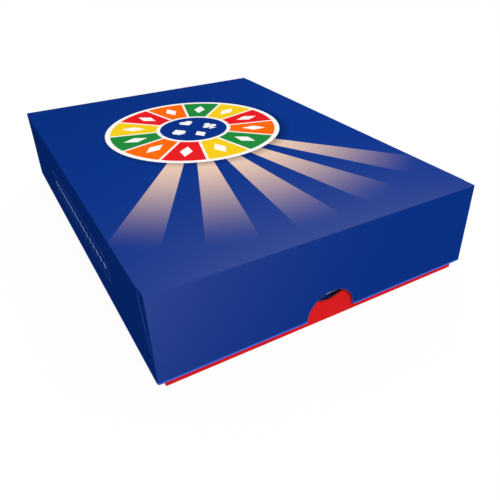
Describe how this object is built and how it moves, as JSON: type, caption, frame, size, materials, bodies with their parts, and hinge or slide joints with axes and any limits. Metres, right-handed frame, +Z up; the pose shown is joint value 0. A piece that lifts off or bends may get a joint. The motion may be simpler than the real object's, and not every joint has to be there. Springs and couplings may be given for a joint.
{
  "type": "card game",
  "caption": "Flat card game box: printed board lid with half-moon thumb notches over a red tray, holding red, yellow and green cards and a folded leaflet.",
  "frame": {"origin": "centre of the tray's underside, on the surface that the box stands on", "axes": "+X to the right along the short end, +Y along the long side towards the back end, +Z up"},
  "size_m": [0.0694, 0.097, 0.02],
  "materials": {
    "lid_board": "satin laminated print",
    "tray_board": "satin laminated print",
    "card_green": "satin",
    "card_yellow": "satin",
    "card_red": "satin",
    "leaflet_paper": "matt"
  },
  "bodies": {
    "tray": {"tray": "tray_board"},
    "lid": {"lid": "lid_board"},
    "leaflet": {"leaflet_back": "leaflet_paper"},
    "leaflet_cover": {"leaflet_front": "leaflet_paper"},
    "green_cards": {"card_green_01": "card_green", "card_green_02": "card_green", "card_green_03": "card_green", "card_green_04": "card_green", "card_green_05": "card_green", "card_green_06": "card_green", "card_green_07": "card_green", "card_green_08": "card_green", "card_green_09": "card_green", "card_green_10": "card_green", "card_green_11": "card_green", "card_green_12": "card_green", "card_green_13": "card_green", "card_green_14": "card_green", "card_green_15": "card_green", "card_green_16": "card_green", "card_green_17": "card_green", "card_green_18": "card_green"},
    "yellow_cards": {"card_yellow_01": "card_yellow", "card_yellow_02": "card_yellow", "card_yellow_03": "card_yellow", "card_yellow_04": "card_yellow", "card_yellow_05": "card_yellow", "card_yellow_06": "card_yellow", "card_yellow_07": "card_yellow", "card_yellow_08": "card_yellow", "card_yellow_09": "card_yellow", "card_yellow_10": "card_yellow", "card_yellow_11": "card_yellow", "card_yellow_12": "card_yellow", "card_yellow_13": "card_yellow", "card_yellow_14": "card_yellow", "card_yellow_15": "card_yellow", "card_yellow_16": "card_yellow", "card_yellow_17": "card_yellow", "card_yellow_18": "card_yellow"},
    "red_cards": {"card_red_01": "card_red", "card_red_02": "card_red", "card_red_03": "card_red", "card_red_04": "card_red", "card_red_05": "card_red", "card_red_06": "card_red", "card_red_07": "card_red", "card_red_08": "card_red", "card_red_09": "card_red", "card_red_10": "card_red", "card_red_11": "card_red", "card_red_12": "card_red", "card_red_13": "card_red", "card_red_14": "card_red", "card_red_15": "card_red", "card_red_16": "card_red", "card_red_17": "card_red", "card_red_18": "card_red"}
  },
  "joints": [
    {"name": "lid_lift", "type": "slide", "parent": "tray", "child": "lid", "axis": [0, 0, 1], "range_m": [0, 0.17]},
    {"name": "green_lift", "type": "slide", "parent": "tray", "child": "green_cards", "axis": [0, 0, 1], "range_m": [0, 0.0291]},
    {"name": "yellow_lift", "type": "slide", "parent": "tray", "child": "yellow_cards", "axis": [0, 0, 1], "range_m": [0, 0.041]},
    {"name": "red_lift", "type": "slide", "parent": "tray", "child": "red_cards", "axis": [0, 0, 1], "range_m": [0, 0.0528]},
    {"name": "leaflet_lift", "type": "slide", "parent": "tray", "child": "leaflet", "axis": [0, 0, 1], "range_m": [0, 0.0715]},
    {"name": "leaflet_open", "type": "hinge", "parent": "leaflet", "child": "leaflet_cover", "pos_m": [-0.03, 0, 0.01847], "axis": [0, -1, 0], "range_deg": [0, 90.1]}
  ],
  "couplings": [
    {"joint": "green_lift", "follows": "lid_lift", "ratio": 0.17},
    {"joint": "yellow_lift", "follows": "lid_lift", "ratio": 0.24},
    {"joint": "red_lift", "follows": "lid_lift", "ratio": 0.31},
    {"joint": "leaflet_lift", "follows": "lid_lift", "ratio": 0.42},
    {"joint": "leaflet_open", "follows": "lid_lift", "rad_per_m": 9.24}
  ]
}
